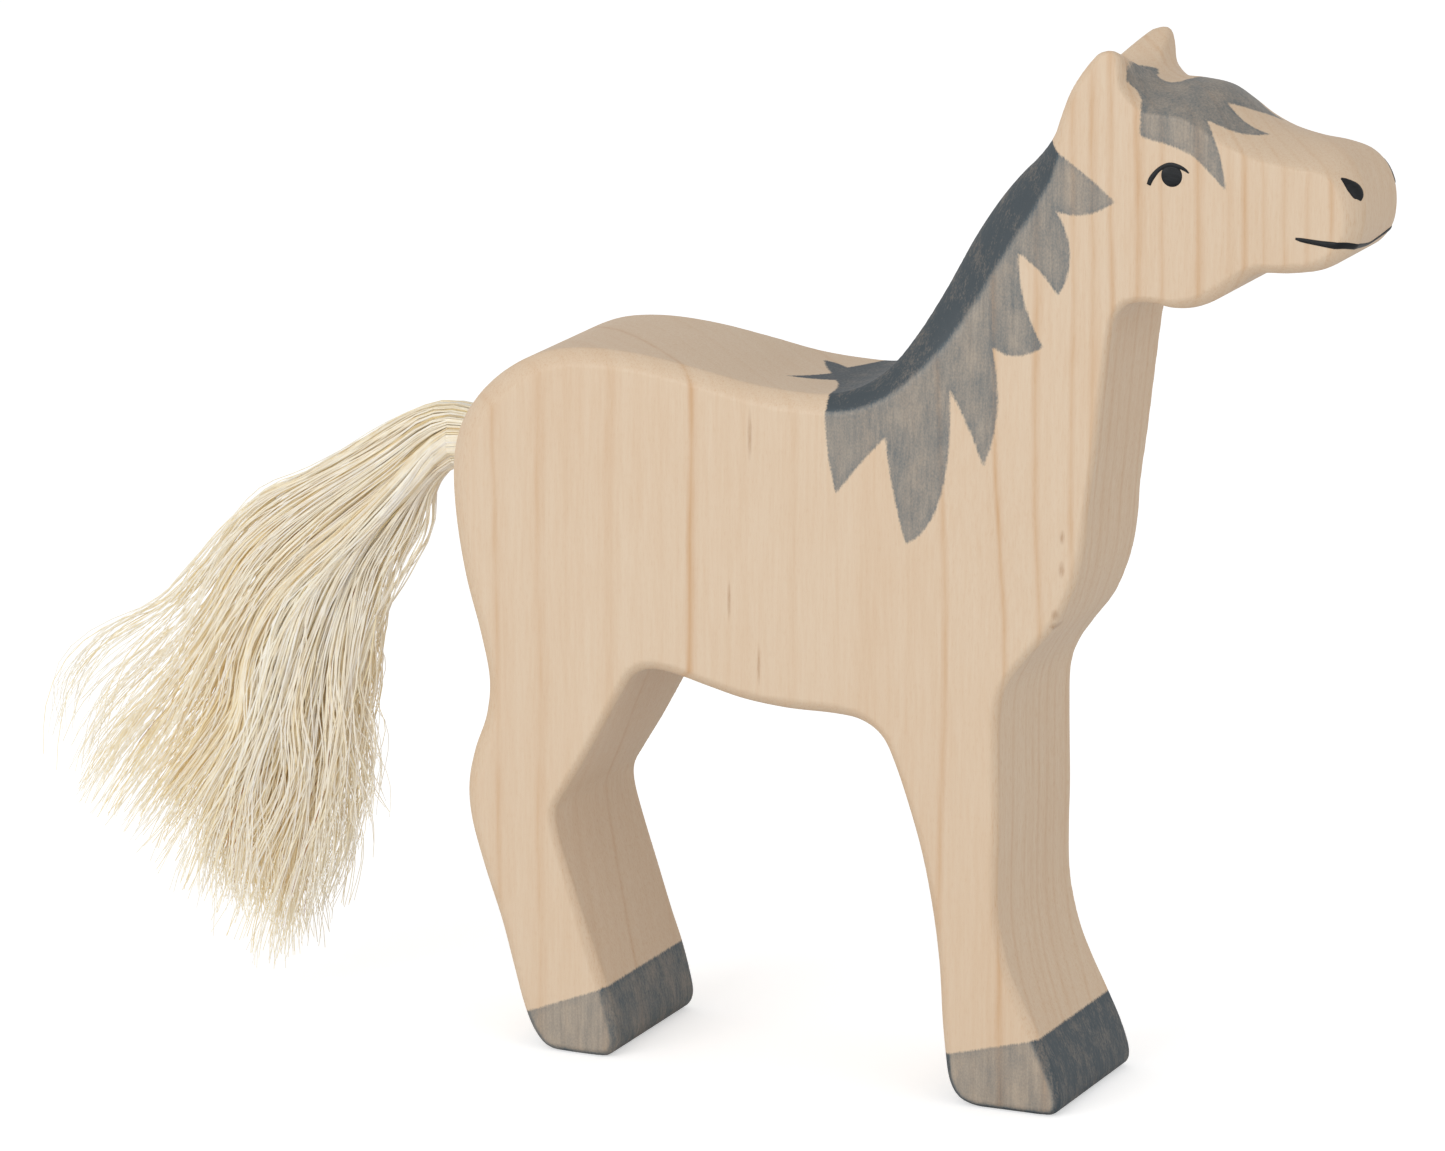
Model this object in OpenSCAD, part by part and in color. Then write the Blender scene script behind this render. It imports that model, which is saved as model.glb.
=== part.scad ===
// Standing toy horse, sawn from one plank of pale maple, with a loose fibre tail.
// The horse faces +X, its thickness lies along Y and it stands on Z = 0.
// The origin lies on the floor, under the middle of the whole object.

/* [Plank] */
// Thickness of the plank at the trunk and the legs
plank_t = 28; // [24:0.5:34]
// Thickness of the neck and the forehead
neck_t = 21; // [18:0.5:24]
// Thickness of the muzzle at its end
muzzle_t = 18; // [15:0.5:20]

/* [Ears] */
// Height of the bottom of the groove between the ears
ear_groove_z = 145.2; // [143:0.2:147]
// Slope of each side of the groove
ear_groove_slope = 26; // [20:1:35]

/* [Tail bore] */
// Diameter of the blind bore that holds the tail
bore_d = 10; // [8:0.5:12]
// Depth of the bore behind the rump
bore_depth = 17; // [12:1:24]
// Height of the bore above the floor
bore_z = 85; // [80:1:90]

/* [Tail] */
// Diameter of the binding thread
thread_d = 0.7; // [0.5:0.1:1]
// Diameter of the hank where it leaves the rump
root_d = 8.8; // [7:0.2:9.2]
// Distance between the two bends of the tail
root_length = 6; // [6:0.5:8]
// Gap between the parts that turn on each other
turning_gap = 0.4; // [0.3:0.1:0.6]
// Number of turns of the binding thread
whipping_turns = 5; // [3:1:7]

/* [Paint] */
// Thickness of the black paint
paint_t = 0.12; // [0.1:0.02:0.2]

/* [Hidden] */

half_plank = plank_t / 2;
half_neck = neck_t / 2;
half_muzzle = muzzle_t / 2;
// Extra reach of a cut past the wood
margin = 1;
// Facets of a full circle, on round parts and on small dots of paint
round_fn = 48;
dot_fn = 16;

// Colours
maple = "burlywood";
black_paint = [0.08, 0.09, 0.1];
fibre = "cornsilk";
glue_amber = "goldenrod";
thread_white = "whitesmoke";

// Outline of the sawn blank, clockwise seen from the right side of the horse.
// Each row is [x, z, edge, across, half]: a point of the outline, how far the rounded
// edge reaches inwards there, how far it reaches across the plank, and half the thickness.
back_rows = [
    [-33.6, 83, 3.8, 3.5, half_plank],
    [-32.6, 88.5, 3.8, 3.5, half_plank],
    [-30, 93, 3.6, 3.3, half_plank],
    [-26.5, 96.6, 3.4, 3, half_plank],
    [-22, 99.6, 2.8, 2.6, half_plank],
    [-17, 101.5, 2.4, 2.4, half_plank],
    [-10.5, 102.2, 2.3, 2.4, half_plank],
    [-3, 101.8, 2.2, 2.4, half_plank],
    [5, 100.6, 2.2, 2.4, half_plank],
    [12.5, 99.3, 2.3, 2.4, half_plank],
    [19, 98.8, 2.4, 2.4, half_plank],
    [24.5, 98.9, 2.6, 2.6, half_plank]
];
crest_rows = [
    [29, 100.3, 3.2, 3, 13.5],
    [32.8, 103.2, 4, 3.4, 12.8],
    [36, 107.6, 5, 3.8, 12],
    [39.3, 113.4, 6, 4.2, 11.2],
    [43, 120.5, 6.5, 4.5, half_neck],
    [46.5, 126, 6.5, 4.5, half_neck],
    [49.9, 130.3, 6, 4.3, half_neck],
    [53.3, 133.7, 4.6, 3.6, half_neck]
];
ear_rows = [
    [55.8, 136.8, 2.6, 2.4, half_neck],
    [57.2, 140.2, 1.8, 1.8, half_neck],
    [58.8, 143.8, 1.4, 1.4, half_neck],
    [61, 147, 1.2, 1.2, half_neck],
    [63.2, 149.3, 0.9, 1, half_neck],
    [64.9, 149.8, 0.7, 0.8, half_neck],
    [65.9, 148.6, 0.7, 0.8, half_neck],
    [66.5, 146.8, 1, 1.5, half_neck],
    [67.6, 145.2, 2, 4.5, half_neck]
];
face_rows = [
    [69.8, 144.6, 3.3, 8.5, half_neck],
    [73.2, 144.6, 3.5, 9.5, half_neck],
    [76.8, 144.1, 3.6, 9.5, half_neck],
    [79.8, 142.4, 3.4, 9.5, 10.4],
    [82.6, 140.5, 3.2, 9.3, 10.2],
    [86, 139, 3, 9.1, 9.9],
    [90, 138.1, 2.8, 8.8, 9.6],
    [93.6, 137.6, 2.6, 8, 9.4],
    [96.6, 136.4, 2.4, 6, 9.2],
    [98.7, 134.2, 2.4, 4.5, 9.1],
    [99.7, 131.3, 2.4, 3.4, half_muzzle],
    [99.8, 128, 2.2, 3, half_muzzle],
    [99, 125.2, 2, 2.6, 9.1]
];
jaw_rows = [
    [97, 122.9, 1.8, 2.2, 9.2],
    [94, 121.4, 1.6, 2, 9.4],
    [90, 120.7, 1.6, 2, 9.6],
    [85.6, 120.3, 1.6, 2, 9.9],
    [83, 118.7, 1.7, 2, 10.1],
    [80.6, 116.9, 1.8, 2, 10.3],
    [77.5, 115.3, 1.8, 2, half_neck],
    [74, 114.7, 1.6, 1.8, half_neck],
    [70.5, 115.2, 1.2, 1.4, half_neck],
    [67.4, 114.8, 1, 1, half_neck],
    [65.6, 112.8, 0.8, 0.9, half_neck]
];
chest_rows = [
    [64.9, 109.8, 0.8, 0.9, half_neck],
    [64, 102.5, 0.8, 0.9, half_neck],
    [62.9, 93, 0.8, 0.9, half_neck],
    [62, 86.2, 0.8, 0.9, half_neck],
    [61.5, 80.3, 0.9, 0.9, 10.6],
    [60.4, 75, 1, 1, 11],
    [57.8, 69.2, 1, 1, 12.1],
    [54.2, 64.6, 1, 1, 13.2],
    [51.6, 60.8, 1, 1, 13.8]
];
foreleg_front_rows = [
    [50.5, 57, 1, 1, half_plank],
    [50.4, 51, 1, 1, half_plank],
    [50.6, 41, 1, 1, half_plank],
    [50.5, 34.5, 1, 1, half_plank],
    [50.6, 28.5, 1, 1, half_plank],
    [51.2, 24.5, 1.1, 1.1, half_plank],
    [52.5, 19.8, 1.2, 1.2, half_plank],
    [54.4, 15.6, 1.4, 1.4, half_plank],
    [56.6, 11.4, 1.5, 1.5, half_plank],
    [58.8, 6.8, 1.5, 1.5, half_plank],
    [60, 2.6, 1.2, 1.2, half_plank],
    [59.4, 0.5, 1, 1, half_plank]
];
fore_sole_rows = [
    [57, 0, 1, 1, half_plank],
    [52, 0, 1, 1, half_plank],
    [48, 0, 1, 1, half_plank]
];
foreleg_rear_rows = [
    [45, 0.8, 1.2, 1.2, half_plank],
    [43.3, 3.2, 1.4, 1.4, half_plank],
    [42.5, 7.6, 1.6, 1.6, half_plank],
    [42, 13, 1.6, 1.6, half_plank],
    [41.6, 19.5, 1.6, 1.6, half_plank],
    [40.6, 27, 1.6, 1.6, half_plank],
    [39, 34.8, 1.6, 1.6, half_plank],
    [37, 41.5, 1.6, 1.6, half_plank]
];
belly_rows = [
    [34.7, 47.8, 1.6, 1.6, half_plank],
    [32.7, 51.4, 1.7, 1.7, half_plank],
    [29.6, 53.3, 1.8, 1.8, half_plank],
    [25.5, 53.8, 1.8, 1.8, half_plank],
    [18.5, 53.8, 1.8, 1.8, half_plank],
    [12, 54.4, 1.8, 1.8, half_plank],
    [6.5, 55.6, 1.8, 1.8, half_plank],
    [1.5, 56.8, 1.8, 1.8, half_plank],
    [-2.2, 57.2, 1.6, 1.6, half_plank]
];
hindleg_front_rows = [
    [-4.8, 56.1, 1.2, 1.2, half_plank],
    [-6.7, 53.2, 1, 1, half_plank],
    [-9.2, 48.7, 1, 1, half_plank],
    [-12.2, 43.3, 1, 1, half_plank],
    [-15, 38.7, 1, 1, half_plank],
    [-16.6, 35.8, 1, 1, half_plank],
    [-16.7, 33.2, 1, 1, half_plank],
    [-15.6, 29, 1, 1, half_plank],
    [-13, 21.4, 1.2, 1.2, half_plank],
    [-10.8, 15, 1.4, 1.4, half_plank],
    [-9.1, 10.4, 1.5, 1.5, half_plank],
    [-7.9, 6.2, 1.5, 1.5, half_plank],
    [-7.4, 2.6, 1.2, 1.2, half_plank],
    [-8.4, 0.5, 1, 1, half_plank]
];
hind_sole_rows = [
    [-10.5, 0, 1, 1, half_plank],
    [-14.5, 0, 1, 1, half_plank]
];
hindleg_rear_rows = [
    [-18.2, 0.3, 1.2, 1.2, half_plank],
    [-20.6, 2.4, 1.6, 1.6, half_plank],
    [-22.3, 6, 1.8, 1.8, half_plank],
    [-23.8, 11, 1.9, 1.9, half_plank],
    [-25.8, 18, 2, 2, half_plank],
    [-28.5, 25.4, 2.2, 2.2, half_plank],
    [-30.6, 32, 2.5, 2.5, half_plank],
    [-31.2, 37.2, 2.8, 2.8, half_plank],
    [-30.2, 42.4, 2.8, 2.8, half_plank],
    [-28.3, 47.6, 2.6, 2.6, half_plank],
    [-27.8, 53, 2.6, 2.6, half_plank],
    [-29.2, 59.4, 2.8, 2.8, half_plank],
    [-31.5, 67.2, 3.2, 3, half_plank],
    [-33.1, 75.4, 3.6, 3.3, half_plank]
];
upper_rows = concat(back_rows, crest_rows, ear_rows, face_rows);
front_rows = concat(jaw_rows, chest_rows, foreleg_front_rows, fore_sole_rows);
lower_rows = concat(foreleg_rear_rows, belly_rows, hindleg_front_rows, hind_sole_rows);
outline_rows = concat(upper_rows, front_rows, lower_rows, hindleg_rear_rows);

// Samples taken between two rows of the outline, and strips across a rounded edge
steps = 2;
edge_steps = 4;
// Power of the edge's superellipse: 1 is a flat bevel, 2 is a true round
edge_power = 1.4;

// Curve through the rows p1 and p2, with p0 and p3 as their neighbours
function curve_row(p0, p1, p2, p3, u) = (2 * p1 + (p2 - p0) * u
    + (2 * p0 - 5 * p1 + 4 * p2 - p3) * u * u
    + (3 * p1 - p0 - 3 * p2 + p3) * u * u * u) / 2;
function loop_row(i) = let (n = len(outline_rows)) outline_rows[(i + n) % n];
// Row of the outline at place u, counted in rows; nothing reaches below the floor
function row_at(u) = let (
        i = floor(u),
        row = curve_row(loop_row(i - 1), loop_row(i), loop_row(i + 1), loop_row(i + 2), u - i),
        half = loop_row(i)[4] + (loop_row(i + 1)[4] - loop_row(i)[4]) * (u - i))
    [row.x, max(row.y, 0), row[2], row[3], half];

samples = steps * len(outline_rows);

// Unit normal of the outline that points into the wood
function inward(u) = let (
        a = row_at(u - 1 / steps),
        b = row_at(u + 1 / steps),
        d = [b.x - a.x, b.y - a.y])
    [d.y, -d.x] / norm(d);

// Point of the rounded edge at place u, stood off the wood by lift. angle = 0 lies on the
// side face and angle = 90 on the sawn wall. side is -1 on the right of the horse.
function edge_point(u, angle, side, lift = 0) = let (
        in_share = 1 - pow(sin(angle), 2 / edge_power),
        across_share = 1 - pow(cos(angle), 2 / edge_power),
        row = row_at(u),
        depth = row[2] * in_share - lift * sin(angle),
        p = [row.x, row.y] + inward(u) * depth)
    [p.x, side * (row[4] - row[3] * across_share + lift * cos(angle)), p.y];

// Rings of points from the right side face, over the wall, to the left side face
ring_count = 2 * edge_steps + 2;
function ring_point(i, j) = j <= edge_steps
    ? edge_point(i / steps, 90 * j / edge_steps, -1)
    : edge_point(i / steps, 90 * (ring_count - 1 - j) / edge_steps, 1);
blank_points = [for (i = [0 : samples - 1], j = [0 : ring_count - 1]) ring_point(i, j)];
function at(i, j) = (i % samples) * ring_count + j;

// Places on the outline, counted in rows, where the strips across the side face begin
jaw_start = len(upper_rows);
chest_start = jaw_start + len(jaw_rows);
foreleg_start = chest_start + len(chest_rows);
fore_sole = foreleg_start + len(foreleg_front_rows) + 1;
belly_start = fore_sole + 2 + len(foreleg_rear_rows);
elbow = belly_start + 2;
hindleg_start = belly_start + len(belly_rows);
hock_front = hindleg_start + 3;
hind_sole = hindleg_start + len(hindleg_front_rows) + 1;
hock_rear = hind_sole + 10;
trunk_top = len(back_rows) - 1;
withers = trunk_top + len(outline_rows);
neck_top = trunk_top + 5;
neck_low = foreleg_start - 6;
poll = trunk_top + len(crest_rows) + 1;
throat = chest_start - 1;
brow = poll + len(ear_rows) + 2;
cheek = jaw_start + 6;
muzzle_tip = jaw_start - 3;

// Triangles between a run along the outline, a0 to a1, and a run along the far side of
// the same stretch of wood, b0 to b1
function strips_across(a0, a1, b0, b1) = let (
        n = steps * max(abs(a1 - a0), abs(b1 - b0)),
        top = [for (k = [0 : n]) round(steps * (a0 + (a1 - a0) * k / n))],
        low = [for (k = [0 : n]) round(steps * (b0 + (b1 - b0) * k / n))],
        triangles = [for (k = [0 : n - 1])
            each [[top[k], top[k + 1], low[k + 1]], [top[k], low[k + 1], low[k]]]])
    [for (t = triangles) if (t[0] != t[1] && t[1] != t[2] && t[2] != t[0]) t];
side_parts = concat(
    strips_across(hind_sole, hock_rear, hind_sole, hock_front),
    strips_across(hock_rear, withers, hock_front, elbow),
    [steps * [trunk_top, foreleg_start, elbow]],
    strips_across(foreleg_start, fore_sole, elbow, fore_sole),
    strips_across(trunk_top, neck_top, foreleg_start, neck_low),
    strips_across(neck_top, poll, neck_low, throat),
    strips_across(poll, brow, throat, cheek),
    strips_across(brow, muzzle_tip, cheek, muzzle_tip));
function reversed(list) = [for (i = [len(list) - 1 : -1 : 0]) list[i]];
right_faces = [for (part = side_parts) [for (i = part) at(i, 0)]];
left_faces = [for (part = side_parts) reversed([for (i = part) at(i, ring_count - 1)])];
wall_faces = [for (i = [0 : samples - 1], j = [0 : ring_count - 2])
    [at(i, j), at(i, j + 1), at(i + 1, j + 1), at(i + 1, j)]];

// The tail: two bends, one behind the other, on the line of the bore
mouth_x = -33.7;
swing_x = mouth_x - 1.2;
// How far the neck between the bends is drawn in
waist = 0.4;
lift_x = swing_x - root_length;
bore_end_x = mouth_x + bore_depth;
drill_point = 3;
bundle_x = mouth_x + 4.5;
whipping_x = bundle_x + 1;
bundle_d = bore_d - 2 * thread_d;
glue_t = 3;

module along_x(x0, x1, d) {
    translate([x0, 0, bore_z])
        rotate([0, 90, 0])
            cylinder(h = x1 - x0, d = d, $fn = round_fn);
}

// Cone that the drill leaves at the end of the bore
module drill_tip() {
    translate([bore_end_x, 0, bore_z])
        rotate([0, 90, 0])
            cylinder(h = drill_point, d1 = bore_d, d2 = 0, $fn = round_fn);
}

module blank() {
    polyhedron(blank_points, concat(right_faces, left_faces, wall_faces), convexity = 8);
}

// V groove along the horse that parts the two ears
module ear_groove() {
    ear_rear_x = 55;
    cut = 20;
    reach = half_neck + margin;
    rise = reach * tan(ear_groove_slope);
    translate([ear_rear_x, 0, ear_groove_z])
        rotate([90, 0, 90])
            linear_extrude(height = cut)
                polygon([[0, 0], [reach, rise], [reach, cut], [-reach, cut], [-reach, rise]]);
}

module body() {
    color(maple)
        difference() {
            blank();
            ear_groove();
            along_x(mouth_x - bore_d, bore_end_x, bore_d);
            drill_tip();
        }
}

// Puts a drawing in side view, [x, z], on one side face and gives it the paint's thickness
module on_side(side) {
    translate([0, side * half_neck + (side > 0 ? paint_t : 0), 0])
        rotate([90, 0, 0])
            linear_extrude(height = paint_t)
                children();
}

// Eye: a round pupil under an arched lash line. Each row of the lash is
// [x, z, radius] from the middle of the pupil, from the rear end to the front tip.
eye_at = [73.7, 132.9];
pupil_r = 1.4;
lash_rows = [[-3, -1.2, 0.35], [-2.5, -0.2, 0.35], [-1.6, 0.9, 0.38], [-0.3, 1.6, 0.4],
    [1, 1.6, 0.34], [2.5, 0.9, 0.12]];

module dot(row) {
    translate([row.x, row.y])
        circle(r = row.z, $fn = dot_fn);
}

module eye(side) {
    color(black_paint)
        on_side(side)
            translate(eye_at) {
                circle(r = pupil_r, $fn = round_fn);
                for (i = [0 : len(lash_rows) - 2])
                    hull() {
                        dot(lash_rows[i]);
                        dot(lash_rows[i + 1]);
                    }
            }
}

module eye_right() {
    eye(-1);
}

module eye_left() {
    eye(1);
}

// Thin closed skin between a low and a high border, drawn once on the wood and once
// stood off by the paint's thickness
module paint_skin(low, high, low_top, high_top) {
    n = len(low);
    points = concat(low, high, high_top, low_top);
    strips = [for (i = [0 : n - 2], c = [0 : 3]) let (a = c * n + i, b = (c + 1) % 4 * n + i)
        each [[a, a + 1, b + 1], [a, b + 1, b]]];
    ends = [[0, n, 2 * n, 3 * n], [4 * n - 1, 3 * n - 1, 2 * n - 1, n - 1]];
    polyhedron(points, concat(strips, ends), convexity = 4);
}

// Nostril: a teardrop on the rounded front edge of the muzzle. Each row is
// [place on the outline, low angle, high angle] of the rounded edge.
nostril_rows = [[-1.3, 40, 46], [-1, 34, 52], [-0.7, 26, 56], [-0.4, 18, 60],
    [-0.1, 16, 62], [0.1, 20, 58], [0.2, 30, 48]];
function nostril_border(side, c, lift) = [for (r = nostril_rows)
    edge_point(muzzle_tip + r[0], r[c], side, lift)];

module nostril(side) {
    low = side < 0 ? 1 : 2;
    high = 3 - low;
    color(black_paint)
        paint_skin(nostril_border(side, low, 0), nostril_border(side, high, 0),
            nostril_border(side, low, paint_t), nostril_border(side, high, paint_t));
}

module nostril_right() {
    nostril(-1);
}

module nostril_left() {
    nostril(1);
}

// Mouth: one brush line along the right side, round the muzzle and along the left side.
// Each row is [x, z, half width] on the side face.
mouth_rows = [[91.3, 125.8, 0.2], [93, 125.6, 0.4], [95, 125.5, 0.5]];
mouth_half = 0.55;
mouth_place = len(upper_rows) - 1;
face_end = 99.8;
taper_length = 23;
function muzzle_half(x) = half_muzzle + (face_end - x) * (half_neck - half_muzzle) / taper_length;
function side_border(side, up, lift) = [for (r = mouth_rows)
    [r.x, side * (muzzle_half(r.x) + lift), r.y + up * r.z]];
function front_border(side, up, lift) = [for (k = [0 : edge_steps])
    edge_point(mouth_place, 90 * k / edge_steps, side, lift) + [0, 0, up * mouth_half]];
function mouth_border(up, lift) = concat(
    side_border(-1, up, lift),
    front_border(-1, up, lift),
    reversed(front_border(1, up, lift)),
    reversed(side_border(1, up, lift)));

module mouth_line() {
    color(black_paint)
        paint_skin(mouth_border(-1, 0), mouth_border(1, 0), mouth_border(-1, paint_t),
            mouth_border(1, paint_t));
}

// Glue at the bottom of the bore, with the drill's cone
module glue_plug() {
    color(glue_amber) {
        along_x(bore_end_x - glue_t, bore_end_x, bore_d);
        drill_tip();
    }
}

// The bound end of the hank, pushed into the bore
module tail_bundle() {
    color(fibre)
        along_x(bundle_x, bore_end_x - glue_t, bundle_d);
}

// Thread wound side by side round the bound end
module root_whipping() {
    r = bundle_d / 2;
    color(thread_white)
        translate([whipping_x, 0, bore_z])
            rotate([0, 90, 0])
                rotate_extrude($fn = round_fn)
                    for (turn = [0 : whipping_turns - 1])
                        translate([r, turn * thread_d]) {
                            square([thread_d / 2, thread_d]);
                            translate([thread_d / 2, thread_d / 2])
                                circle(d = thread_d, $fn = round_fn);
                        }
}

// Short gathered neck of the hank between its two bends, with a ball at each bend
module tail_root() {
    color(fibre) {
        along_x(lift_x, swing_x, root_d - 2 * waist);
        for (x = [swing_x, lift_x])
            translate([x, 0, bore_z])
                sphere(d = root_d, $fn = round_fn);
    }
}

// The loose hank. Each row is [top x, top z, bottom x, bottom z, half width across].
tuft_rows = [
    [-45.2, 87.6, -44.4, 79, 4.4],
    [-50, 85.2, -45, 70.5, 5.2],
    [-57, 81, -48.5, 60.5, 6.6],
    [-65.5, 75.5, -52.5, 50, 8.2],
    [-73.5, 69.5, -54, 38, 9.8],
    [-82, 60, -55, 26, 11.2],
    [-91, 51.5, -58, 15, 12],
    [-98, 43, -66, 9.5, 11.6],
    [-99.8, 35, -80, 12.5, 9]
];
tuft_sides = 16;
tuft_points = [for (r = tuft_rows, k = [0 : tuft_sides - 1]) let (
        angle = 360 * k / tuft_sides,
        mid = [r[0] + r[2], r[1] + r[3]] / 2,
        reach = [r[0] - r[2], r[1] - r[3]] / 2)
    [mid.x + reach.x * cos(angle), r[4] * sin(angle), mid.y + reach.y * cos(angle)]];
tuft_walls = [for (i = [0 : len(tuft_rows) - 2], k = [0 : tuft_sides - 1]) let (
        a = i * tuft_sides,
        next = (k + 1) % tuft_sides)
    [a + k, a + k + tuft_sides, a + next + tuft_sides, a + next]];
tuft_last = (len(tuft_rows) - 1) * tuft_sides;
tuft_ends = [[for (k = [0 : tuft_sides - 1]) k],
    [for (k = [tuft_sides - 1 : -1 : 0]) tuft_last + k]];

module tail_tuft() {
    color(fibre)
        difference() {
            polyhedron(tuft_points, concat(tuft_walls, tuft_ends), convexity = 4);
            translate([lift_x, 0, bore_z])
                sphere(d = root_d + 2 * turning_gap, $fn = round_fn);
        }
}

body();
eye_right();
eye_left();
nostril_right();
nostril_left();
mouth_line();
glue_plug();
tail_bundle();
root_whipping();
tail_root();
tail_tuft();
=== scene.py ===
"""Looks of a toy horse sawn from one plank of pale maple, with a stained mane and a fibre tail.

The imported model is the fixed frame. The body, the paint and the tail are built here around it.
Lengths are in millimetres while a shape is worked out, and in metres in every Blender object.
"""

import math

import bmesh
import bpy
import numpy as np
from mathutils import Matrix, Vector


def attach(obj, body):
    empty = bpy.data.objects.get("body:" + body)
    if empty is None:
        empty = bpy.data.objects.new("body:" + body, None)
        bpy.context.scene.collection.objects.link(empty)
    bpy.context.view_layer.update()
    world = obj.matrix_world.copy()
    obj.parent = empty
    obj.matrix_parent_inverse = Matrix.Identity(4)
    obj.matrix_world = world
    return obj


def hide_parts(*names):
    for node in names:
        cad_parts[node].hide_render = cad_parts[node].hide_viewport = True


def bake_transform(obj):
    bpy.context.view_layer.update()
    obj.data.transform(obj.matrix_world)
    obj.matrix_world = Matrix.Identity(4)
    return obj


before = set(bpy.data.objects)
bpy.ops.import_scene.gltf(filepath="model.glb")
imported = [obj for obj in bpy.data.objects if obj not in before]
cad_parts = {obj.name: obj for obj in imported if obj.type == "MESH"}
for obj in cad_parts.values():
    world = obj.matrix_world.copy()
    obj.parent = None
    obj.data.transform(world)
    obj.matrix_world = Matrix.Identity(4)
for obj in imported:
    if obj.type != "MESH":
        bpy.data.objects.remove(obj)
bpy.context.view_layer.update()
MM = 0.001
rng = np.random.default_rng(11)

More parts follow.
